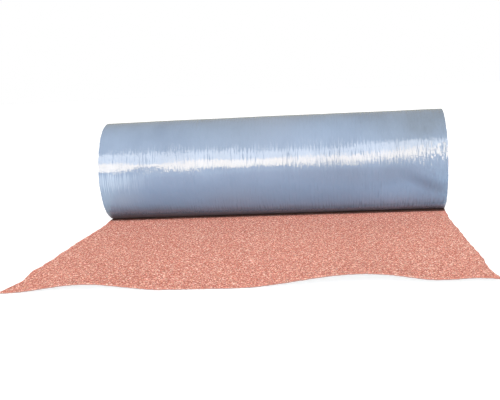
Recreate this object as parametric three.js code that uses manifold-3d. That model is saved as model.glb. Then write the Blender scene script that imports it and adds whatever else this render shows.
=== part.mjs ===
// A roll of mineral-surfaced roofing felt, lying on its side with its free end laid out in front.
// Millimetres, +Z up. X runs along the roll, and the free end points towards -Y.
//
// The felt is one sheet. It lies flat from its cut edge to the line where the roll touches the
// floor, goes up the back of the roll, over the top and down the front, and winds on inwards.
// So the film on its underside is outside on the roll, and its granules face up on the free end.
//
// "turns" is a place along the wound sheet: 0 at the line of contact, 1 after one turn inwards.

import * as THREE from "three";
import { mergeVertices } from "three/addons/utils/BufferGeometryUtils.js";
import Module from "manifold-3d";

// Driving dimensions

const sheetWidth = 1000;
const sheetThickness = 4;
const turnGap = 0.8; // air between one turn and the next
const rollDiameter = 298.4; // twice the film's radius at the line of contact
const boreDiameter = 172.8; // clear inside the inner end of the sheet
const endGrooveDepth = 12; // how far in from each end the gap between turns is open
const freeLength = 930; // from the line of contact to the cut edge
const leadLength = 40; // flat start of the free end that is made in one with the winding

// The free end lies flat beside the roll, and its waves grow from here to the cut edge.
const flatLength = 250;
const waveGrowth = 1.5;

// Each wave is a smooth ridge across the cut edge: the place of its crest from the roll's middle,
// its height there, and how far it reaches to the left and to the right of the crest.
const leftWave = { crest: -325, height: 14.5, reachLeft: 170, reachRight: 170 };
const rightWave = { crest: 235, height: 23, reachLeft: 255, reachRight: 215 };

// The right corner is lifted by a small wave of its own, placed from the sheet's side edge.
const cornerInset = 45;
const cornerHeight = 9.5;
const cornerReach = 110;

// Facets

const segmentsPerTurn = 36; // a multiple of 4, so that the roll's widest points are corners
const stepsAcross = 40;
const stepsAlong = 12;

// Worked out from the dimensions above

const outerRadius = rollDiameter / 2;
const pitch = sheetThickness + turnGap;
const turnCount = (outerRadius - sheetThickness - boreDiameter / 2) / pitch;
const cornerWave = {
  crest: sheetWidth / 2 - cornerInset,
  height: cornerHeight,
  reachLeft: cornerReach,
  reachRight: cornerReach,
};
const waves = [leftWave, rightWave, cornerWave];

const wasm = await Module();
wasm.setup();

// Radius of the film, the outer face of the sheet, at a place along the winding.
function filmRadius(turns) {
  return outerRadius - pitch * turns;
}

// Radius of the granules, the inner face of the sheet.
function granuleRadius(turns) {
  return filmRadius(turns) - sheetThickness;
}

// A point of the roll's section, with Y across and Z up. The angle starts at the bottom and
// goes up the back.
function sectionPoint(radius, turns) {
  const angle = 2 * Math.PI * turns;
  return new THREE.Vector2(radius * Math.sin(angle), outerRadius - radius * Math.cos(angle));
}

// The places along the winding that carry a corner: both ends, and every whole segment between.
function turnStops(from, to) {
  const margin = 0.01;
  const stops = [from];
  const last = to * segmentsPerTurn - margin;
  for (let step = Math.floor(from * segmentsPerTurn + margin) + 1; step < last; step += 1) {
    stops.push(step / segmentsPerTurn);
  }
  stops.push(to);
  return stops;
}

function spiral(radiusAt, from, to) {
  return turnStops(from, to).map((turns) => sectionPoint(radiusAt(turns), turns));
}

// The roll's section: the film of the outermost turn outside, and the granules of the innermost
// turn round the bore. Outside, the lead runs out along the floor from the line of contact. The
// bore closes on itself by the step at the inner end of the sheet.
function rollSection() {
  const leadUnderside = new THREE.Vector2(-leadLength, 0);
  const leadTop = new THREE.Vector2(-leadLength, sheetThickness);
  const nip = new THREE.Vector2(0, sheetThickness);
  const section = new THREE.Shape([leadUnderside, ...spiral(filmRadius, 0, 1), nip, leadTop]);
  section.holes.push(new THREE.Path(spiral(granuleRadius, turnCount - 1, turnCount)));
  return section;
}

// A point in the middle of the gap between turns, a gap's width past one of its ends.
function gapTip(turns, direction) {
  const radius = granuleRadius(turns) - turnGap / 2;
  const past = turnGap / (2 * Math.PI * radius);
  return sectionPoint(radius, turns + direction * past);
}

// The gap between the turns: granules of one turn on its outer side, film of the next turn on
// its inner side. Each end runs out to a point in free air, in front of the roll and in the bore.
function gapSection() {
  const lastTurn = turnCount - 1;
  const outerWall = spiral(granuleRadius, 0, lastTurn);
  const innerWall = spiral((turns) => filmRadius(turns + 1), 0, lastTurn);
  return new THREE.Shape([
    gapTip(0, -1),
    ...outerWall,
    gapTip(lastTurn, 1),
    ...innerWall.reverse(),
  ]);
}

// Carries a section drawn in Y and Z along X.
function carryAcross(section, fromX, toX) {
  const geometry = new THREE.ExtrudeGeometry(section, { depth: toX - fromX, bevelEnabled: false });
  geometry.translate(0, 0, fromX);
  const acrossToX = new THREE.Matrix4().makeBasis(
    new THREE.Vector3(0, 1, 0),
    new THREE.Vector3(0, 0, 1),
    new THREE.Vector3(1, 0, 0),
  );
  return geometry.applyMatrix4(acrossToX);
}

function toSolid(geometry) {
  geometry.deleteAttribute("normal");
  geometry.deleteAttribute("uv");
  const merged = mergeVertices(geometry);
  const mesh = new wasm.Mesh({
    numProp: 3,
    vertProperties: new Float32Array(merged.attributes.position.array),
    triVerts: new Uint32Array(merged.index.array),
  });
  return new wasm.Manifold(mesh);
}

function toGeometry(solid) {
  const mesh = solid.getMesh();
  const geometry = new THREE.BufferGeometry();
  geometry.setAttribute("position", new THREE.BufferAttribute(mesh.vertProperties, mesh.numProp));
  geometry.setIndex(new THREE.BufferAttribute(mesh.triVerts, 1));
  geometry.computeVertexNormals();
  return geometry;
}

// The wound part of the sheet, with its turns standing apart at both ends.
function woundSolid() {
  const side = sheetWidth / 2;
  const overrun = 1; // how far the cutters stand out of the ends
  const body = toSolid(carryAcross(rollSection(), -side, side));
  const leftGap = toSolid(carryAcross(gapSection(), -side - overrun, -side + endGrooveDepth));
  const rightGap = toSolid(carryAcross(gapSection(), side - endGrooveDepth, side + overrun));
  return body.subtract(leftGap).subtract(rightGap);
}

// Height of one wave at a place across the sheet: half a cosine wave on each side of its crest.
function ridge(wave, x) {
  const offset = x - wave.crest;
  const reach = offset < 0 ? wave.reachLeft : wave.reachRight;
  const share = Math.min(Math.abs(offset) / reach, 1);
  return (wave.height * (1 + Math.cos(Math.PI * share))) / 2;
}

// Height of the free end's underside above the floor.
function lift(x, distance) {
  const grown = Math.max((distance - flatLength) / (freeLength - flatLength), 0) ** waveGrowth;
  const edgeLift = waves.reduce((sum, wave) => sum + ridge(wave, x), 0);
  return edgeLift * grown;
}

// The rest of the free end: a plain sheet, raised by its waves, that laps half of the lead.
function freeEndSolid() {
  const start = leadLength / 2;
  const length = freeLength - start;
  const sheet = new THREE.BoxGeometry(
    sheetWidth,
    length,
    sheetThickness,
    stepsAcross,
    stepsAlong,
    1,
  );
  const position = sheet.attributes.position;
  for (let i = 0; i < position.count; i += 1) {
    const x = position.getX(i);
    const distance = start + length / 2 - position.getY(i);
    const flatHeight = position.getZ(i) > 0 ? sheetThickness : 0;
    position.setXYZ(i, x, -distance, flatHeight + lift(x, distance));
  }
  return toSolid(sheet);
}

const feltMaterial = new THREE.MeshStandardMaterial({
  color: 0x9aa8c0,
  roughness: 0.35,
  metalness: 0,
});

const feltRoll = new THREE.Mesh(toGeometry(woundSolid().add(freeEndSolid())), feltMaterial);
feltRoll.name = "felt_roll";

// The origin is on the floor, under the middle of the whole part.
const backReach = filmRadius(1 / 4);
feltRoll.position.y = (freeLength - backReach) / 2;

const part = new THREE.Group();
part.add(feltRoll);

export default part;
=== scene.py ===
import math

import bmesh
import bpy
from mathutils import Matrix, Vector, noise


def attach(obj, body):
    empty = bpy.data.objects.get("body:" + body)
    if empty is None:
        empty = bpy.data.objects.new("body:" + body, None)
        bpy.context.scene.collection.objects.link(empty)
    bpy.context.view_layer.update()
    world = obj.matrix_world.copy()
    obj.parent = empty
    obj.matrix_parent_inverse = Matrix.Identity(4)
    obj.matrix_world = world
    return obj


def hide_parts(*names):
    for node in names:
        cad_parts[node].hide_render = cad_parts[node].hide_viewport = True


# A roll of mineral-surfaced roofing felt with its free end laid out in front, in metres.
# The felt is one sheet. Its film is outside on the roll, its granules face up on the free end.

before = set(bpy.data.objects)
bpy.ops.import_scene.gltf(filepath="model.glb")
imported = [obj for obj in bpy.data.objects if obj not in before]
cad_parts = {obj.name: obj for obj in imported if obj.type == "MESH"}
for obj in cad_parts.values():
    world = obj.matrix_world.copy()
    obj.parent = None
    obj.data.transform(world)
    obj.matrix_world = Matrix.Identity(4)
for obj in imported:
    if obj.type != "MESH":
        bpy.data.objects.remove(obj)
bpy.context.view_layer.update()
scene = bpy.context.scene


cameraView = {
    "place": (0.202, -2.188, 0.410),
    "turnLeft": 6.16,
    "tiltDown": 8.02,
    "roll": -2.76,
    "lens": 62.16,
    "sensor": 36,
}


def addCamera(view):
    bpy.ops.object.camera_add()
    camera = bpy.context.object
    camera.name = "studioCamera"
    camera.matrix_world = (
        Matrix.Translation(view["place"])
        @ Matrix.Rotation(math.radians(view["turnLeft"]), 4, "Z")
        @ Matrix.Rotation(math.radians(90 - view["tiltDown"]), 4, "X")
        @ Matrix.Rotation(math.radians(view["roll"]), 4, "Z")
    )
    camera.data.lens = view["lens"]
    camera.data.sensor_width = view["sensor"]
    camera.data.sensor_fit = "HORIZONTAL"
    scene.camera = camera


addCamera(cameraView)
scene.view_settings.view_transform = "Standard"
print("camera placed")


felt = {
    "width": 0.9992,
    "thickness": 0.004,
    "turnGap": 0.0008,
    "rollRadius": 0.1492,    # of the film at the line where the roll touches the floor
    "turns": 12.25,
    "freeLength": 0.930,
    "contactLine": 0.391,    # that line, on Y
    "flatLength": 0.250,     # what lies flat in front of it
    "waveGrowth": 1.5,
    "crown": 0.0020,         # how much lower the roll is on top at its ends
    "hollow": 0.0007,        # depth of the soft hollows in the roll's face
    "hollowShare": (0.5, 1.2),    # how much of it is everywhere, and the most there is
    "roundFrom": 0.25,       # turns up the back until the roll has its full unevenness
    "dentedTurns": 4,        # the dents fade out through this many turns
    "slip": 0.0010,          # how far a turn may slide along the roll
    "slipWaves": 0.8,        # to a turn
    "slipGrowth": 4,
    "edgeJitter": 0.0010,    # unevenness of the cut edges
    "jitterWaves": 60,       # to the metre
    "jitterSet": 0.5,        # how far the edges stand in by it
    "frontWaves": 170,       # the same for the front edge
    "frontSet": 1.4,
    "frontSwing": 2,
    "ragged": 0.0032,        # unevenness of the free end's sides
    "raggedWaves": (28, 3),  # to the metre, along and across
    "raggedFade": (0.03, 0.1),    # it dies out over this, at the front edge and at the roll
    "trimPower": 4,          # how close to the sides the trim keeps
    "frontRound": (0.0010, 0.0024),    # rounding of the front edge, above and below
    "frontBand": 0.006,      # what counts as the front edge
    "frontSegments": 3,
    "smoothAngle": 40,
}

# how finely the sheet is cut up
cuts = {
    "rowStep": 0.010,
    "smallRows": (1.52, 1.67),    # where the rows lie half as far apart, for the small dents
    "columnStep": 0.100,     # across the inner turns, which only show their ends
    "fine": 9,               # extra cuts across the free end and the outer turn
    "fineTurns": 1.06,
    "edge": 4,               # and across the front edge
    "path": 4000,            # points on the line that it is wound along
}

# the broad and the small ones of the soft hollows: waves across and round the roll
softHollows = [
    {"across": 5.2, "around": 1.9, "seed": 7.3, "share": 1.0},
    {"across": 17, "around": 4.5, "seed": 2.1, "share": 0.35},
]

seeds = {"ragged": 1.7, "slip": 3.7, "front": 5.5}
nearby = 1e-4            # metres, for telling which points lie in one row
firstRow = 0.001
granuleFinish, filmFinish, edgeFinish = 0, 1, 2    # the sheet's material slots

# crest and reaches on X, height of the ridge at the front edge
waves = [
    {"crest": -0.325, "height": 0.0145, "left": 0.170, "right": 0.170},
    {"crest": 0.235, "height": 0.0230, "left": 0.255, "right": 0.215},
    {"crest": 0.455, "height": 0.0095, "left": 0.110, "right": 0.110},
]

# how far the side edges of the free end stand in, at distances from the front edge
sideTrim = {
    "left": [
        (0.00, -0.0005), (0.025, 0.006), (0.09, 0.0145), (0.19, 0.005),
        (0.33, 0.0065), (0.50, 0.0045), (0.75, 0.0070), (0.93, 0.0),
    ],
    "right": [
        (0.00, 0.0), (0.05, 0.005), (0.10, 0.0075), (0.21, 0.0035),
        (0.38, 0.0063), (0.52, 0.0044), (0.72, 0.0065), (0.93, 0.0),
    ],
}

# soft dents and bulges in the wound turns: place on X, share of a turn from the floor up the
# back and over, reach each way, and how far the film stands out. The last is the sag where it rests.
dents = [
    {"across": -0.352, "turn": 0.7200, "width": 0.055, "length": 0.012, "rise": 0.00200},
    {"across": -0.330, "turn": 0.7169, "width": 0.239, "length": 0.021, "rise": -0.00122},
    {"across": -0.182, "turn": 0.7463, "width": 0.053, "length": 0.025, "rise": -0.00136},
    {"across": -0.117, "turn": 0.6717, "width": 0.477, "length": 0.025, "rise": -0.00255},
    {"across": -0.104, "turn": 0.6708, "width": 0.165, "length": 0.015, "rise": 0.00088},
    {"across": -0.088, "turn": 0.7557, "width": 0.033, "length": 0.018, "rise": 0.00049},
    {"across": -0.054, "turn": 0.7189, "width": 0.071, "length": 0.029, "rise": 0.00079},
    {"across": 0.213, "turn": 0.7518, "width": 0.245, "length": 0.013, "rise": 0.00068},
    {"across": 0.286, "turn": 0.6653, "width": 0.026, "length": 0.012, "rise": 0.00082},
    {"across": 0.461, "turn": 0.6689, "width": 0.126, "length": 0.021, "rise": 0.00297},
    {"across": 0.508, "turn": 0.6703, "width": 0.197, "length": 0.043, "rise": 0.00270},
    {"across": 0.600, "turn": 0.6956, "width": 0.838, "length": 0.030, "rise": 0.00121},
    {"across": 0.490, "turn": 0.5000, "width": 0.150, "length": 0.200, "rise": 0.00190},
    {"across": 0.000, "turn": 0.968, "width": 9.000, "length": 0.022, "rise": 0.00210},
]

windingPitch = felt["thickness"] + felt["turnGap"]


def woundLength(turns):
    return 2 * math.pi * (felt["rollRadius"] * turns - windingPitch * turns * turns / 2)


def turnsAt(length):
    radius = felt["rollRadius"]
    return (radius - math.sqrt(max(radius * radius - windingPitch * length / math.pi, 0))) / windingPitch


sheetLength = felt["freeLength"] + woundLength(felt["turns"])


def deselectAll():
    if bpy.context.object and bpy.context.object.mode != "OBJECT":
        bpy.ops.object.mode_set(mode="OBJECT")
    bpy.ops.object.select_all(action="DESELECT")


def pickEdges(piece, wanted):
    # in edit mode: only the edges that wanted() says yes to are selected
    bpy.ops.mesh.select_mode(type="EDGE")
    bpy.ops.mesh.select_all(action="DESELECT")
    shape = bmesh.from_edit_mesh(piece.data)
    for edge in shape.edges:
        edge.select = wanted(edge)
    shape.select_flush_mode()
    bmesh.update_edit_mesh(piece.data)


def liesAcross(edge):
    start, end = edge.verts
    return abs(start.co.x - end.co.x) < nearby


def isSmallRow(edge):
    start, end = edge.verts
    low, high = cuts["smallRows"]
    return abs(start.co.y - end.co.y) < nearby and low < (start.co.x + end.co.x) / 2 < high


def applyModifier(piece, name, kind, **settings):
    modifier = piece.modifiers.new(name, kind)
    for key, value in settings.items():
        setattr(modifier, key, value)
    bpy.context.view_layer.objects.active = piece
    bpy.ops.object.modifier_apply(modifier=name)


def addFlatSheet():
    # the sheet before it is wound: its length on X, from the front edge inwards
    deselectAll()
    bpy.ops.mesh.primitive_grid_add(
        x_subdivisions=round(sheetLength / cuts["rowStep"]),
        y_subdivisions=round(felt["width"] / cuts["columnStep"]),
        size=1,
        location=(0, 0, 0),
    )
    sheet = bpy.context.object
    sheet.name = "felt_sheet"
    sheet.data.name = "felt_sheet"
    bpy.ops.object.mode_set(mode="EDIT")
    bpy.ops.mesh.select_all(action="SELECT")
    bpy.ops.transform.resize(value=(sheetLength, felt["width"], 1))
    bpy.ops.transform.translate(value=(sheetLength / 2, 0, 0))
    fineTo = felt["freeLength"] + woundLength(cuts["fineTurns"])
    pickEdges(sheet, lambda edge: liesAcross(edge) and edge.verts[0].co.x < fineTo)
    bpy.ops.mesh.subdivide(number_cuts=cuts["fine"])
    pickEdges(sheet, isSmallRow)
    bpy.ops.mesh.subdivide(number_cuts=1)
    pickEdges(sheet, lambda edge: liesAcross(edge) and edge.verts[0].co.x < firstRow)
    bpy.ops.mesh.subdivide(number_cuts=cuts["edge"])
    bpy.ops.object.mode_set(mode="OBJECT")
    return sheet


def lift(across, distance):
    height = 0
    for wave in waves:
        reach = wave["left"] if across < wave["crest"] else wave["right"]
        share = min(abs(across - wave["crest"]) / reach, 1)
        height += wave["height"] * (1 + math.cos(math.pi * share)) / 2
    growth = max((distance - felt["flatLength"]) / (felt["freeLength"] - felt["flatLength"]), 0)
    return height * growth ** felt["waveGrowth"]


def trimAt(side, distance):
    marks = sideTrim["left" if side > 0 else "right"]
    for (start, first), (end, last) in zip(marks, marks[1:]):
        if distance <= end:
            share = (1 - math.cos(math.pi * (distance - start) / (end - start))) / 2
            return first + (last - first) * share
    return 0


def waver(x, y, z):
    return noise.noise(Vector((x, y, z)))


def hollow(across, turns):
    # crown and hollows are the same in every turn, and the dents fade by a quarter a turn,
    # so that the turns stay clear of each other
    angle = 2 * math.pi * turns
    offFloor = (1 - math.cos(angle)) / 2
    begun = min(turns / felt["roundFrom"], 1)
    field = 0
    for soft in softHollows:
        ahead, up = soft["around"] * math.sin(angle), soft["around"] * math.cos(angle) + soft["seed"]
        field += soft["share"] * waver(across * soft["across"], ahead, up)
    crown = felt["crown"] * (2 * across) ** 2 * offFloor
    least, most = felt["hollowShare"]
    depth = crown + felt["hollow"] * offFloor ** 0.5 * min(max(least + field, 0), most)
    fade = max(1 - int(turns) / felt["dentedTurns"], 0)
    for dent in dents if fade else ():
        aside = (across - dent["across"]) / dent["width"]
        ahead = (turns % 1 - dent["turn"]) * 2 * math.pi * felt["rollRadius"] / dent["length"]
        depth -= fade * dent["rise"] * math.exp(-aside * aside - ahead * ahead)
    return begun * depth


def wornAt(along, side):
    perLength, perWidth = felt["raggedWaves"]
    fromFront, fromRoll = felt["raggedFade"]
    uneven = felt["ragged"] * waver(along * perLength, side * perWidth, seeds["ragged"])
    return uneven * min(along / fromFront, (felt["freeLength"] - along) / fromRoll, 1)


def shapeFlatSheet(sheet):
    half = felt["width"] / 2
    for point in sheet.data.vertices:
        along, side = point.co.x, point.co.y     # the winding turns +Y of the flat sheet to -X
        turns = turnsAt(max(along - felt["freeLength"], 0))
        if not turns:
            trim = trimAt(side, along) + wornAt(along, side)
            point.co.y -= math.copysign(trim * (abs(side) / half) ** felt["trimPower"], side)
        if abs(side) > half - nearby:
            uneven = felt["jitterSet"] + waver(along * felt["jitterWaves"], side, 0)
            point.co.y -= math.copysign(felt["edgeJitter"] * uneven, side)
        if turns:
            point.co.z = hollow(-side, turns)
            slide = felt["slip"] * waver(turns * felt["slipWaves"], seeds["slip"], 0)
            point.co.y += slide * min(turns * felt["slipGrowth"], 1)
        else:
            point.co.z = lift(-side, felt["freeLength"] - along)
        if along < firstRow:
            swing = waver(side * felt["frontWaves"], seeds["front"], 0)
            uneven = felt["frontSet"] + felt["frontSwing"] * swing
            point.co.x += felt["edgeJitter"] * uneven


def addWindingPath():
    # the line that the film follows: flat to where the roll touches the floor, up the back and inwards
    curve = bpy.data.curves.new("windingPath", "CURVE")
    curve.dimensions = "3D"
    curve.twist_mode = "MINIMUM"
    line = curve.splines.new("POLY")
    line.points.add(cuts["path"])
    for i, point in enumerate(line.points):
        along = sheetLength * i / cuts["path"]
        turns = turnsAt(max(along - felt["freeLength"], 0))
        radius = felt["rollRadius"] - windingPitch * turns
        angle = 2 * math.pi * turns
        ahead = max(felt["freeLength"] - along, 0)
        forward = felt["contactLine"] - ahead + radius * math.sin(angle)
        point.co = (0, forward, felt["rollRadius"] - radius * math.cos(angle), 1)
    path = bpy.data.objects.new("windingPath", curve)
    scene.collection.objects.link(path)
    return path


def windSheet(sheet):
    path = addWindingPath()
    applyModifier(sheet, "wind", "CURVE", object=path, deform_axis="POS_X")
    bpy.data.objects.remove(path)


def thickenSheet(sheet):
    applyModifier(
        sheet, "wall", "SOLIDIFY",
        thickness=felt["thickness"], offset=1, use_even_offset=True,
        use_rim=True, material_offset=filmFinish, material_offset_rim=edgeFinish,
    )


def markDepth(sheet):
    # 0 on the film, 1 on the granules, so that the cut edge shows the layers
    depth = sheet.data.attributes.new("depth", "FLOAT", "POINT")
    for face in sheet.data.polygons:
        if face.material_index == granuleFinish:
            for index in face.vertices:
                depth.data[index].value = 1


def trimFrontEdge(sheet):
    # the granules run over the front edge, and the bitumen below them is worn back
    bpy.context.view_layer.objects.active = sheet
    frontLine = felt["contactLine"] - felt["freeLength"] + felt["frontBand"]
    above, below = felt["frontRound"]
    for wall, offset, finish in ((granuleFinish, above, granuleFinish), (filmFinish, below, edgeFinish)):

        def isFront(edge):
            slots = sorted(face.material_index for face in edge.link_faces)
            return slots == [wall, edgeFinish] and max(vert.co.y for vert in edge.verts) < frontLine

        bpy.ops.object.mode_set(mode="EDIT")
        pickEdges(sheet, isFront)
        bpy.ops.mesh.bevel(
            offset=offset, offset_type="OFFSET", segments=felt["frontSegments"],
            material=finish, clamp_overlap=True,
        )
        bpy.ops.object.mode_set(mode="OBJECT")


def put(tree, socket, value):
    if isinstance(value, bpy.types.NodeSocket):
        tree.links.new(value, socket)
    else:
        socket.default_value = value


def addMath(tree, operation, a, b=0.0):
    node = tree.nodes.new("ShaderNodeMath")
    node.operation = operation
    put(tree, node.inputs[0], a)
    put(tree, node.inputs[1], b)
    return node.outputs[0]


def plus(tree, total, *terms):
    for term in terms:
        total = addMath(tree, "ADD", total, term)
    return total


def times(tree, product, *factors):
    for factor in factors:
        product = addMath(tree, "MULTIPLY", product, factor)
    return product


def addVector(tree, operation, a, b=None, scale=None):
    node = tree.nodes.new("ShaderNodeVectorMath")
    node.operation = operation
    put(tree, node.inputs[0], a)
    if b is not None:
        put(tree, node.inputs[1], b)
    if scale is not None:
        put(tree, node.inputs["Scale"], scale)
    return node.outputs["Vector"]


def addNoise(tree, place, waves, detail=0.0, roughness=0.5):
    # waves to the metre, along the sheet and across it
    node = tree.nodes.new("ShaderNodeTexNoise")
    put(tree, node.inputs["Vector"], addVector(tree, "MULTIPLY", place, (*waves, 1)))
    node.inputs["Scale"].default_value = 1
    node.inputs["Detail"].default_value = detail
    node.inputs["Roughness"].default_value = roughness
    return node.outputs["Fac"]


def addRange(tree, value, low, high, toLow=0.0, toHigh=1.0):
    node = tree.nodes.new("ShaderNodeMapRange")
    node.clamp = True
    put(tree, node.inputs["Value"], value)
    for socket, number in zip(("From Min", "From Max", "To Min", "To Max"), (low, high, toLow, toHigh)):
        node.inputs[socket].default_value = number
    return node.outputs["Result"]


def addRamp(tree, value, stops):
    node = tree.nodes.new("ShaderNodeValToRGB")
    put(tree, node.inputs["Fac"], value)
    ramp = node.color_ramp
    while len(ramp.elements) < len(stops):
        ramp.elements.new(0.5)
    for element, (position, color) in zip(ramp.elements, stops):
        element.position = position
        element.color = (*color, 1)
    return node.outputs["Color"]


def addMix(tree, factor, a, b, blend="MIX"):
    node = tree.nodes.new("ShaderNodeMix")
    node.data_type = "RGBA"
    node.blend_type = blend
    put(tree, node.inputs[0], factor)
    put(tree, node.inputs[6], a)
    put(tree, node.inputs[7], b)
    return node.outputs[2]


def addParts(tree, vector):
    node = tree.nodes.new("ShaderNodeSeparateXYZ")
    tree.links.new(vector, node.inputs["Vector"])
    return node.outputs["X"], node.outputs["Y"]


def addBump(tree, shader, height, strength, distance):
    node = tree.nodes.new("ShaderNodeBump")
    node.inputs["Strength"].default_value = strength
    node.inputs["Distance"].default_value = distance
    tree.links.new(height, node.inputs["Height"])
    tree.links.new(node.outputs["Normal"], shader["Normal"])


def newGroup(name, inputs, outputs):
    group = bpy.data.node_groups.new(name, "ShaderNodeTree")
    for direction, sockets in (("INPUT", inputs), ("OUTPUT", outputs)):
        for socketName, kind in sockets.items():
            group.interface.new_socket(socketName, in_out=direction, socket_type="NodeSocket" + kind)
    return group, group.nodes.new("NodeGroupInput").outputs, group.nodes.new("NodeGroupOutput").inputs


def useGroup(tree, group, **values):
    node = tree.nodes.new("ShaderNodeGroup")
    node.node_tree = group
    for name, value in values.items():
        put(tree, node.inputs[name.replace("_", " ")], value)
    return node.outputs


def newMaterial(name):
    material = bpy.data.materials.new(name)
    material.use_nodes = True
    tree = material.node_tree
    return material, tree, tree.nodes["Principled BSDF"].inputs


def sheetPlace(tree):
    # metres on the sheet: X is the length from the front edge, Y is across, to the right
    uv = tree.nodes.new("ShaderNodeUVMap")
    uv.uv_map = sheet.data.uv_layers[0].name
    mapping = tree.nodes.new("ShaderNodeMapping")
    mapping.inputs["Location"].default_value = (0, felt["width"] / 2, 0)
    mapping.inputs["Scale"].default_value = (sheetLength, -felt["width"], 1)
    tree.links.new(uv.outputs["UV"], mapping.inputs["Vector"])
    return mapping.outputs["Vector"]


scatterShape = {
    "gap": (0.52, 0.78),     # from the middle of a granule, in granules, where the dark begins and is full
    "top": (0.15, 0.75, 1.0, 0.0),    # and where its top ends and its foot is
    "least": 0.4,            # height of the lowest
}


def makeGranuleScatter():
    # crushed mineral: a tone for each granule, the dark between them, and their height
    tree, given, made = newGroup(
        "granuleScatter",
        {"Place": "Vector", "Size": "Float"},
        {"Tone": "Float", "Gap": "Float", "Relief": "Float"},
    )
    cells = tree.nodes.new("ShaderNodeTexVoronoi")
    cells.inputs["Scale"].default_value = 1
    each = addMath(tree, "DIVIDE", 1.0, given["Size"])
    put(tree, cells.inputs["Vector"], addVector(tree, "SCALE", given["Place"], scale=each))
    parts = tree.nodes.new("ShaderNodeSeparateColor")
    tree.links.new(cells.outputs["Color"], parts.inputs["Color"])
    distance = cells.outputs["Distance"]
    top = addRange(tree, distance, *scatterShape["top"])
    tree.links.new(parts.outputs["Red"], made["Tone"])
    tree.links.new(addRange(tree, distance, *scatterShape["gap"]), made["Gap"])
    height = plus(tree, parts.outputs["Green"], scatterShape["least"])
    tree.links.new(times(tree, top, height), made["Relief"])
    return tree


# A range is from, to and the values there. Lengths are metres from the front edge, places across
# are metres to the right of the middle.
granules = {
    "size": 0.0015,
    "tones": [
        (0.00, (0.150, 0.038, 0.026)),
        (0.20, (0.410, 0.115, 0.076)),
        (0.50, (0.650, 0.226, 0.162)),
        (0.78, (0.800, 0.322, 0.242)),
        (0.92, (0.900, 0.500, 0.390)),
        (1.00, (0.940, 0.860, 0.700)),
    ],
    "gap": (0.07, 0.03, 0.027),    # the bitumen between them
    "gapShare": 0.85,
    "clumpSize": 0.0056,
    "clumpDetail": 3,
    "clumpRoughness": 0.6,
    "clumpHeight": 0.9,      # beside the granules' own
    "clumpDepth": (0.28, 0.48, 0.66),    # in red, green and blue
    "clumpSwing": (-0.2, 0.2),
    "coarseAcross": (0.0, -0.35),    # the left is laid more coarsely
    "coarseSwing": 0.35,
    "coarseDeep": 0.05,
    "speckSize": 0.0031,     # where pale or dark ones lie together
    "pale": (0.950, 0.755, 0.600),
    "paleTones": (0.90, 0.94, 0.0, 0.60),
    "deep": (0.330, 0.080, 0.055),
    "deepTones": (0.20, 0.13, 0.0, 0.75),
    "paintedWarmLight": (1.12, 1.04, 1.03),    # painted light: the granules lighter and redder towards the roll
    "paintedWarmLightAlong": (0.78, 0.85),
    "nipShadeSlant": 0.009,
    "nipShadeAlong": (0.863, 0.872, 1.0, 0.12),    # painted shade: the granules darker in the nip where the roll rests
    "innerAlong": (1.00, 1.05),    # no painted shade inside the roll
    "paintedEdgeShadeAlong": (0.0005, 0.0035, 0.70, 1.0),    # painted shade: darker at the front edge, against the light its rounded rim catches
    "roughness": 0.88,
    "specular": 0.3,
    "bump": 0.8,
    "relief": 0.0007,
}


def makeGranules():
    material, tree, shader = newMaterial("mineralGranules")
    place = sheetPlace(tree)
    along, across = addParts(tree, place)
    scatter = useGroup(tree, granuleScatter, Place=place, Size=granules["size"])
    color = addRamp(tree, scatter["Tone"], granules["tones"])
    color = addMix(tree, times(tree, scatter["Gap"], granules["gapShare"]), color, (*granules["gap"], 1))
    each = 1 / granules["clumpSize"]
    clump = addNoise(tree, place, (each, each), granules["clumpDetail"], granules["clumpRoughness"])
    low, high = [tuple(1 + side * depth for depth in granules["clumpDepth"]) for side in (-1, 1)]
    coarse = addRange(tree, across, *granules["coarseAcross"])
    swing = addMath(tree, "SUBTRACT", clump, 0.5)
    swing = times(tree, swing, plus(tree, 1.0, times(tree, coarse, granules["coarseSwing"])))
    shade = addMix(tree, addRange(tree, swing, *granules["clumpSwing"]), (*low, 1), (*high, 1))
    specks = useGroup(tree, granuleScatter, Place=place, Size=granules["speckSize"])
    pale = addRange(tree, specks["Tone"], *granules["paleTones"])
    color = addMix(tree, pale, color, (*granules["pale"], 1))
    tone = addMath(tree, "SUBTRACT", specks["Tone"], times(tree, coarse, granules["coarseDeep"]))
    color = addMix(tree, addRange(tree, tone, *granules["deepTones"]), color, (*granules["deep"], 1))
    # painted light: granules lighter and redder towards the roll
    paintedWarmLight = addRange(tree, along, *granules["paintedWarmLightAlong"])
    color = addMix(tree, paintedWarmLight, color, (*granules["paintedWarmLight"], 1), blend="MULTIPLY")
    color = addMix(tree, 1.0, color, shade, blend="MULTIPLY")
    # painted shade: granules darker in the nip where the roll rests and at the front edge, none inside the
    # roll
    paintedShade = plus(tree, along, times(tree, across, granules["nipShadeSlant"]))
    paintedShade = addRange(tree, paintedShade, *granules["nipShadeAlong"])
    paintedShade = addMath(tree, "MAXIMUM", paintedShade, addRange(tree, along, *granules["innerAlong"]))
    paintedShade = times(tree, paintedShade, addRange(tree, along, *granules["paintedEdgeShadeAlong"]))
    color = addMix(tree, 1.0, color, paintedShade, blend="MULTIPLY")
    put(tree, shader["Base Color"], color)
    shader["Roughness"].default_value = granules["roughness"]
    shader["Specular IOR Level"].default_value = granules["specular"]
    height = plus(tree, scatter["Relief"], times(tree, clump, granules["clumpHeight"]))
    addBump(tree, shader, height, granules["bump"], granules["relief"])
    return material


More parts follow.
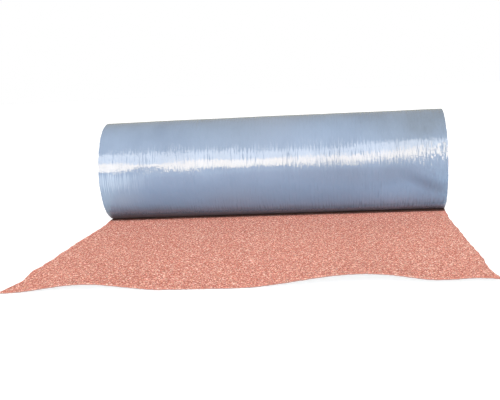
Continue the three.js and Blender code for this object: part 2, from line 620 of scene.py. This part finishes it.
creaseShape = {
    "patchWaves": (4, 17),   # the creases come in patches
    "patch": (0.38, 0.60, 0.45, 1.0),
    "ridgePitch": 0.0089,    # ridges run round the roll, this far apart, and wander
    "ridgeWaves": (5, 30),
    "ridgeWander": 16.0,
    "ridge": 0.26,
    "fineWaves": (36, 600),
    "fine": 1.2,
    "broadWaves": (9, 150),
    "broad": 0.08,
    "rippleWaves": (22, 34),
    "grainWaves": (270, 330),
    "grainPatchWaves": (9, 13),
    "grainPatch": (0.42, 0.58, 0.5, 1.5),
    "wrinkleWaves": (100, 150),
    "sideWrinkleWaves": (110, 140),
    "foldWaves": (30, 620),
    "foldRidge": 0.10,
    "flanks": ((0.60, 0.74), (0.40, 0.26)),    # which folds show their right and their left side
    "tilt": 4.0,
    "streakWaves": (4, 240),
    "streakRoughness": 0.6,
}

film = {
    "color": (0.136, 0.170, 0.219),
    "shade": (0.113, 0.142, 0.186),
    "cloudWaves": (5, 9),    # where it is shaded
    "clouds": (0.36, 0.70),
    "streaks": (0.45, 0.75, 0.0, 0.14),
    "low": (0.109, 0.153, 0.210),    # painted shade and tint: further down the front of the roll the film is darker, then bluer
    "lowAlong": (1.60, 1.68),
    "under": (0.108, 0.170, 0.242),
    "underAlong": (1.69, 1.77),
    "hazeFade": (0.2, 1.0, 1.0, 0.0),
    "hazeClouds": (0.35, 0.6, 0.5, 1.0),
    "paintedPleatReflection": (0.205, 0.245, 0.290),    # painted reflection: pale streaks of light in the pleats
    "paintedPleatReflectionTones": (0.38, 0.58, 0.15, 1.0),
    "pleatWaves": (6, 330),
    "pleatReach": (0.08, -0.11),     # how unevenly they begin and end
    "pleatAlong": ((1.660, 1.672), (1.618, 1.596)),
    "pleatSlant": 0.16,
    "pleatAcross": (-0.25, -0.36),
    "paintedFootShade": (0.056, 0.046, 0.047),   # painted shade: the film dark at the foot of the roll, in front and behind, where it rests
    "footShadeWaves": (14, 22),
    "footShadeUneven": 0.03,
    "footShadeFolds": 0.02,
    "footShadeSlant": 0.042,
    "footShadeAlong": (1.768, 1.846, 0.0, 0.93),
    "footShadeBehind": (1.035, 0.965, 0.0, 0.55),
    "paintedLightAlong": (1.764, 1.781),    # painted light: brighter above it, most at the right
    "paintedLightAcross": (-0.40, 0.42, 0.08, 0.60),
    # painted light: pinkish, like the granules' light on the film, near the foot of the roll
    "dustAndPaintedLight": (0.290, 0.205, 0.220),
    "pinkLightSlant": 0.015,
    "pinkLightAlong": (1.774, 1.832, 0.0, 0.9),
    "dustRoughness": 0.55,
    "comb": (0.036, 0.022),  # how far the creases tilt the film, above and below its bright band
    "combAlong": (1.575, 1.600),
    "calmAcross": (-0.40, -0.16, 0.38, 1.0),    # calm at the left end
    "strongAcross": (0.12, 0.30, 1.0, 1.5),     # strong towards the right
    "sideTilt": 0.078,
    "grain": 0.050,
    "ripple": 0.020,
    "wrinkle": 0.12,
    "looseAcross": (0.38, 0.46),     # wrinkled at the right end, where the film lies loose
    "polish": (0.3, 0.7),
    "roughness": (0.045, 0.085),
    "refraction": 1.5,
}

# soft patches of other tone on the film: middle and reach in metres, along the sheet and across it, and turn
# in degrees; the last four are at the back
hazes = [
    {
        "along": 1.50, "across": 0.43, "length": 0.11, "width": 0.20, "turn": 0,
        "color": (0.106, 0.126, 0.150),
    },
    # painted light: the film paler and bluer low on the right, near the foot of the roll
    {
        "along": 1.74, "across": 0.36, "length": 0.08, "width": 0.16, "turn": 0,
        "color": (0.136, 0.194, 0.266),
    },
    {
        "along": 1.638, "across": 0.28, "length": 0.05, "width": 0.25, "turn": 0,
        "color": (0.100, 0.130, 0.172),
    },
    {
        "along": 1.695, "across": -0.47, "length": 0.075, "width": 0.13, "turn": 0,
        "color": (0.142, 0.183, 0.232),
    },
    {
        "along": 1.748, "across": -0.32, "length": 0.042, "width": 0.15, "turn": 0,
        "color": (0.096, 0.150, 0.208),
    },
    {
        "along": 1.47, "across": -0.03, "length": 0.11, "width": 0.20, "turn": 0,
        "color": (0.151, 0.178, 0.220),
    },
    {
        "along": 1.50, "across": -0.12, "length": 0.10, "width": 0.16, "turn": 0,
        "color": (0.123, 0.151, 0.189),
    },
    {
        "along": 1.70, "across": -0.10, "length": 0.08, "width": 0.14, "turn": 0,
        "color": (0.114, 0.153, 0.205),
    },
    {
        "along": 1.682, "across": 0.445, "length": 0.026, "width": 0.10, "turn": -27,
        "color": (0.080, 0.106, 0.146),
    },
    {
        "along": 1.13, "across": -0.27, "length": 0.10, "width": 0.27, "turn": 12,
        "color": (0.172, 0.202, 0.246),
    },
    {
        "along": 1.23, "across": 0.22, "length": 0.08, "width": 0.24, "turn": -14,
        "color": (0.104, 0.130, 0.168),
    },
    {
        "along": 1.07, "across": 0.34, "length": 0.06, "width": 0.19, "turn": 9,
        "color": (0.164, 0.186, 0.220),
    },
    {
        "along": 1.31, "across": -0.16, "length": 0.06, "width": 0.30, "turn": 6,
        "color": (0.108, 0.136, 0.176),
    },
]


def makeFilmCreases():
    # thin film shrunk onto the felt: fine creases run round the roll, in patches
    tree, given, made = newGroup(
        "filmCreases",
        {
            "Place": "Vector", "Comb": "Float", "Extra": "Float", "Grain": "Float",
            "Ripple": "Float", "Wrinkle": "Float", "Side Tilt": "Float",
        },
        {"Normal": "Vector", "Streak": "Float", "Fold": "Float"},
    )
    place = given["Place"]

    def wave(name, detail=0.0):
        return addMath(tree, "SUBTRACT", addNoise(tree, place, creaseShape[name], detail), 0.5)

    def lean(direction, amount):
        return addVector(tree, "SCALE", direction, scale=times(tree, amount, creaseShape["tilt"]))

    surface = tree.nodes.new("ShaderNodeNewGeometry").outputs["Normal"]
    around = addVector(tree, "NORMALIZE", addVector(tree, "CROSS_PRODUCT", (1, 0, 0), surface))
    patch = addRange(tree, addNoise(tree, place, creaseShape["patchWaves"], detail=2), *creaseShape["patch"])
    patch = addMath(tree, "MAXIMUM", patch, given["Extra"])

    across = addParts(tree, place)[1]
    wander = times(tree, wave("ridgeWaves", 1), creaseShape["ridgeWander"])
    ridges = plus(tree, times(tree, across, 2 * math.pi / creaseShape["ridgePitch"]), wander)
    ridges = addMath(tree, "SINE", ridges)

    fine = times(tree, wave("fineWaves"), creaseShape["fine"])
    broad = times(tree, wave("broadWaves"), creaseShape["broad"])
    comb = times(tree, plus(tree, fine, broad, times(tree, ridges, creaseShape["ridge"])), patch)
    ripple = times(tree, wave("rippleWaves", 2), given["Ripple"])
    grainPatch = addNoise(tree, place, creaseShape["grainPatchWaves"], detail=1)
    grainPatch = addRange(tree, grainPatch, *creaseShape["grainPatch"])
    grain = times(tree, wave("grainWaves"), grainPatch, given["Grain"])
    wrinkle = times(tree, wave("wrinkleWaves", 1), given["Wrinkle"])
    tilt = plus(tree, times(tree, comb, given["Comb"]), ripple, grain, wrinkle)

    fold = addNoise(tree, place, creaseShape["foldWaves"])
    fold = plus(tree, fold, times(tree, ridges, creaseShape["foldRidge"]))
    right, left = [addRange(tree, fold, *flank) for flank in creaseShape["flanks"]]
    side = times(tree, addMath(tree, "SUBTRACT", right, left), patch, given["Side Tilt"])
    side = plus(tree, side, times(tree, wave("sideWrinkleWaves", 1), given["Wrinkle"]))

    normal = addVector(tree, "ADD", surface, lean(around, tilt))
    normal = addVector(tree, "ADD", normal, lean((1, 0, 0), side))
    streak = addNoise(tree, place, creaseShape["streakWaves"], 2, creaseShape["streakRoughness"])
    tree.links.new(addVector(tree, "NORMALIZE", normal), made["Normal"])
    tree.links.new(streak, made["Streak"])
    tree.links.new(fold, made["Fold"])
    return tree


def addOval(tree, place, haze):
    # 0 in the middle of the haze and 1 at its rim
    oval = tree.nodes.new("ShaderNodeMapping")
    oval.vector_type = "TEXTURE"
    oval.inputs["Location"].default_value = (haze["along"], haze["across"], 0)
    oval.inputs["Rotation"].default_value = (0, 0, math.radians(haze["turn"]))
    oval.inputs["Scale"].default_value = (haze["length"], haze["width"], 1)
    tree.links.new(place, oval.inputs["Vector"])
    distance = tree.nodes.new("ShaderNodeVectorMath")
    distance.operation = "LENGTH"
    tree.links.new(oval.outputs["Vector"], distance.inputs[0])
    return distance.outputs["Value"]


def addPleats(tree, along, across, pleat):
    # 1 in the strip of pleats under the bright band at the left, with ragged ends; it gives them their
    # creases and the painted reflection that makes them pale
    starts, ends = [plus(tree, along, times(tree, pleat, reach)) for reach in film["pleatReach"]]
    first, last = film["pleatAlong"]
    strip = times(tree, addRange(tree, starts, *first), addRange(tree, ends, *last))
    aside = plus(tree, across, times(tree, pleat, film["pleatSlant"]))
    return times(tree, strip, addRange(tree, aside, *film["pleatAcross"]))


def makeFilm():
    material, tree, shader = newMaterial("burnOffFilm")
    place = sheetPlace(tree)
    along, across = addParts(tree, place)
    pleat = addNoise(tree, place, film["pleatWaves"], detail=1)
    pulled = addPleats(tree, along, across, pleat)
    calm = addRange(tree, across, *film["calmAcross"])
    strength = times(tree, calm, addRange(tree, across, *film["strongAcross"]))
    comb = addRange(tree, along, *film["combAlong"], *film["comb"])
    creases = useGroup(
        tree, filmCreases, Place=place, Extra=pulled, Grain=film["grain"], Ripple=film["ripple"],
        Comb=times(tree, comb, strength),
        Wrinkle=times(tree, addRange(tree, across, *film["looseAcross"]), film["wrinkle"]),
        Side_Tilt=times(tree, strength, film["sideTilt"]),
    )
    cloud = addNoise(tree, place, film["cloudWaves"], detail=3)
    color = addMix(tree, addRange(tree, cloud, *film["clouds"]), (*film["color"], 1), (*film["shade"], 1))
    color = addMix(tree, addRange(tree, creases["Streak"], *film["streaks"]), color, (*film["shade"], 1))
    # painted shade and tint: darker, then bluer, further down the front of the roll
    color = addMix(tree, addRange(tree, along, *film["lowAlong"]), color, (*film["low"], 1))
    color = addMix(tree, addRange(tree, along, *film["underAlong"]), color, (*film["under"], 1))
    for haze in hazes:
        mask = addRange(tree, addOval(tree, place, haze), *film["hazeFade"])
        mask = times(tree, mask, addRange(tree, cloud, *film["hazeClouds"]))
        color = addMix(tree, mask, color, (*haze["color"], 1))
    # painted reflection: pale streaks of light in the pleats
    paintedPleatReflectionMask = times(tree, pulled, addRange(tree, pleat, *film["paintedPleatReflectionTones"]))
    color = addMix(tree, paintedPleatReflectionMask, color, (*film["paintedPleatReflection"], 1))

    # painted shade at the foot of the roll, in front and behind
    uneven = addNoise(tree, place, film["footShadeWaves"], detail=3)
    reach = plus(tree, along, times(tree, uneven, film["footShadeUneven"]))
    reach = plus(tree, reach, times(tree, creases["Fold"], film["footShadeFolds"]))
    reach = addMath(tree, "SUBTRACT", reach, times(tree, across, film["footShadeSlant"]))
    paintedFootShadeMask = addRange(tree, reach, *film["footShadeAlong"])
    paintedFootShadeMask = addMath(tree, "MAXIMUM", paintedFootShadeMask, addRange(tree, reach, *film["footShadeBehind"]))
    color = addMix(tree, paintedFootShadeMask, color, (*film["paintedFootShade"], 1))
    # painted light: the film brighter just above the dark foot, most at the right
    paintedLight = addRange(tree, along, *film["paintedLightAlong"])
    paintedLight = times(tree, paintedLight, addRange(tree, across, *film["paintedLightAcross"]))
    color = addMix(tree, 1.0, color, plus(tree, 1.0, paintedLight), blend="MULTIPLY")
    # painted light: the film pinkish near the foot of the roll
    deep = plus(tree, along, times(tree, across, film["pinkLightSlant"]))
    color = addMix(tree, addRange(tree, deep, *film["pinkLightAlong"]), color, (*film["dustAndPaintedLight"], 1))
    put(tree, shader["Base Color"], color)

    polish = addRange(tree, creases["Streak"], *film["polish"], *film["roughness"])
    dull = times(tree, paintedFootShadeMask, film["dustRoughness"])
    put(tree, shader["Roughness"], addMath(tree, "MAXIMUM", polish, dull))
    tree.links.new(creases["Normal"], shader["Normal"])
    shader["IOR"].default_value = film["refraction"]
    return material


cutEdge = {
    "bitumen": (0.035, 0.031, 0.031),
    "dustAndPaintedLight": (0.26, 0.11, 0.08),
    "dustTones": (0.55, 0.7),
    "dustShare": 0.75,
    "frontY": (-0.528, -0.533),      # granules cling to the front edge
    "granules": (0.56, 0.22, 0.16),
    "granuleDepth": (0.72, 0.84, 0.0, 0.9),
    "fleece": (0.115, 0.095, 0.088),    # the carrier in the middle of the sheet
    "fleeceDepth": ((0.42, 0.48), (0.60, 0.54)),
    "layerUneven": 0.12,
    "grainSize": 0.0011,
    "roughness": 0.7,
    "bump": 0.6,
    "relief": 0.0004,
}


def makeCutEdge():
    material, tree, shader = newMaterial("cutBitumen")
    place = tree.nodes.new("ShaderNodeTexCoord").outputs["Object"]
    scatter = useGroup(tree, granuleScatter, Place=place, Size=cutEdge["grainSize"])
    front = addRange(tree, addParts(tree, place)[1], *cutEdge["frontY"])
    solid = addMath(tree, "SUBTRACT", 1.0, scatter["Gap"])
    dusty = times(tree, addRange(tree, scatter["Tone"], *cutEdge["dustTones"]), solid)
    dusty = addMath(tree, "MAXIMUM", dusty, front)
    layers = tree.nodes.new("ShaderNodeAttribute")
    layers.attribute_name = "depth"
    depth = plus(tree, layers.outputs["Fac"], times(tree, scatter["Tone"], cutEdge["layerUneven"]))
    carrier = times(tree, *[addRange(tree, depth, *side) for side in cutEdge["fleeceDepth"]])
    color = addMix(tree, carrier, (*cutEdge["bitumen"], 1), (*cutEdge["fleece"], 1))
    color = addMix(tree, times(tree, dusty, cutEdge["dustShare"]), color, (*cutEdge["dustAndPaintedLight"], 1))
    mineral = addRange(tree, depth, *cutEdge["granuleDepth"])
    color = addMix(tree, mineral, color, (*cutEdge["granules"], 1))
    put(tree, shader["Base Color"], color)
    shader["Roughness"].default_value = cutEdge["roughness"]
    addBump(tree, shader, scatter["Relief"], cutEdge["bump"], cutEdge["relief"])
    return material


sheet = addFlatSheet()
granuleScatter = makeGranuleScatter()
filmCreases = makeFilmCreases()
for finish in (makeGranules(), makeFilm(), makeCutEdge()):    # in the order of the slots
    sheet.data.materials.append(finish)
shapeFlatSheet(sheet)
windSheet(sheet)
thickenSheet(sheet)
markDepth(sheet)
trimFrontEdge(sheet)
deselectAll()
sheet.select_set(True)
bpy.context.view_layer.objects.active = sheet
bpy.ops.object.shade_smooth_by_angle(angle=math.radians(felt["smoothAngle"]))
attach(sheet, "root")
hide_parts("felt_roll")
print("felt wound:", len(sheet.data.polygons), "faces")


studio = {
    "floorSize": 40,
    "floorDrop": 0.0003,
    "floorColor": (0.25, 0.25, 0.25),
    "floorRoughness": 0.9,
    "floorGlow": 0.85,       # the floor glows a little, so that shadows stay pale
    "skyColor": (0.21, 0.21, 0.20),
    "mirroredSky": (0.57, 0.55, 0.46),
    "sunHeight": 4,
}

suns = [
    {
        "name": "frontSoft", "direction": (0.10, 1.0, -0.28), "softness": 44,
        "color": (0.84, 0.91, 1.0), "strength": 8.17,
    },
    {
        "name": "topSoft", "direction": (0.06, 0.577, -1.0), "softness": 40,
        "color": (1.0, 0.89, 0.82), "strength": 1.95,
    },
    {
        "name": "backSoft", "direction": (-0.15, -1.0, -0.577), "softness": 60,
        "color": (1, 1, 1), "strength": 1.5,
    },
]

windows = [
    {
        "name": "lowWindow", "place": (-0.15, -4.0, 1.21), "target": (-0.15, 0.3, 1.21),
        "size": (4.7, 1.42), "color": (1, 0.82, 0.57), "power": 292,
    },
    {
        "name": "highWindow", "place": (-0.15, -4.0, 3.525), "target": (-0.15, 0.3, 3.525),
        "size": (4.7, 3.15), "color": (1, 0.992, 0.965), "power": 328,
    },
]


def addFloor():
    deselectAll()
    bpy.ops.mesh.primitive_plane_add(size=studio["floorSize"], location=(0, 0, -studio["floorDrop"]))
    floor = bpy.context.object
    floor.name = "studioFloor"
    material, tree, shader = newMaterial("paleFloor")
    shader["Base Color"].default_value = (*studio["floorColor"], 1)
    shader["Roughness"].default_value = studio["floorRoughness"]
    shader["Emission Color"].default_value = (1, 1, 1, 1)
    shader["Emission Strength"].default_value = studio["floorGlow"]
    floor.data.materials.append(material)


def addWorld():
    world = bpy.data.worlds.new("studioWorld")
    scene.world = world
    world.use_nodes = True
    tree = world.node_tree
    tree.nodes.clear()
    rays = tree.nodes.new("ShaderNodeLightPath").outputs
    color = addMix(tree, rays["Is Glossy Ray"], (*studio["skyColor"], 1), (*studio["mirroredSky"], 1))
    color = addMix(tree, rays["Is Camera Ray"], color, (1, 1, 1, 1))
    sky = tree.nodes.new("ShaderNodeBackground")
    tree.links.new(color, sky.inputs["Color"])
    tree.links.new(sky.outputs["Background"], tree.nodes.new("ShaderNodeOutputWorld").inputs["Surface"])


def addWindow(name, place, target, size, color, power):
    # seen only in the film's gloss
    bpy.ops.object.light_add(type="AREA", location=place)
    window = bpy.context.object
    window.name = name
    window.data.shape = "RECTANGLE"
    window.data.size, window.data.size_y = size
    window.data.color = color
    window.data.energy = power
    window.rotation_euler = (Vector(target) - Vector(place)).to_track_quat("-Z", "Y").to_euler()
    window.visible_camera = False
    window.visible_diffuse = False


def addSun(name, direction, softness, color, strength):
    bpy.ops.object.light_add(type="SUN", location=(0, 0, studio["sunHeight"]))
    sun = bpy.context.object
    sun.name = name
    sun.data.angle = math.radians(softness)
    sun.data.color = color
    sun.data.energy = strength
    sun.rotation_euler = Vector(direction).to_track_quat("-Z", "Y").to_euler()
    sun.visible_glossy = False


addFloor()
addWorld()
for values in suns:
    addSun(**values)
for values in windows:
    addWindow(**values)
print("studio set")
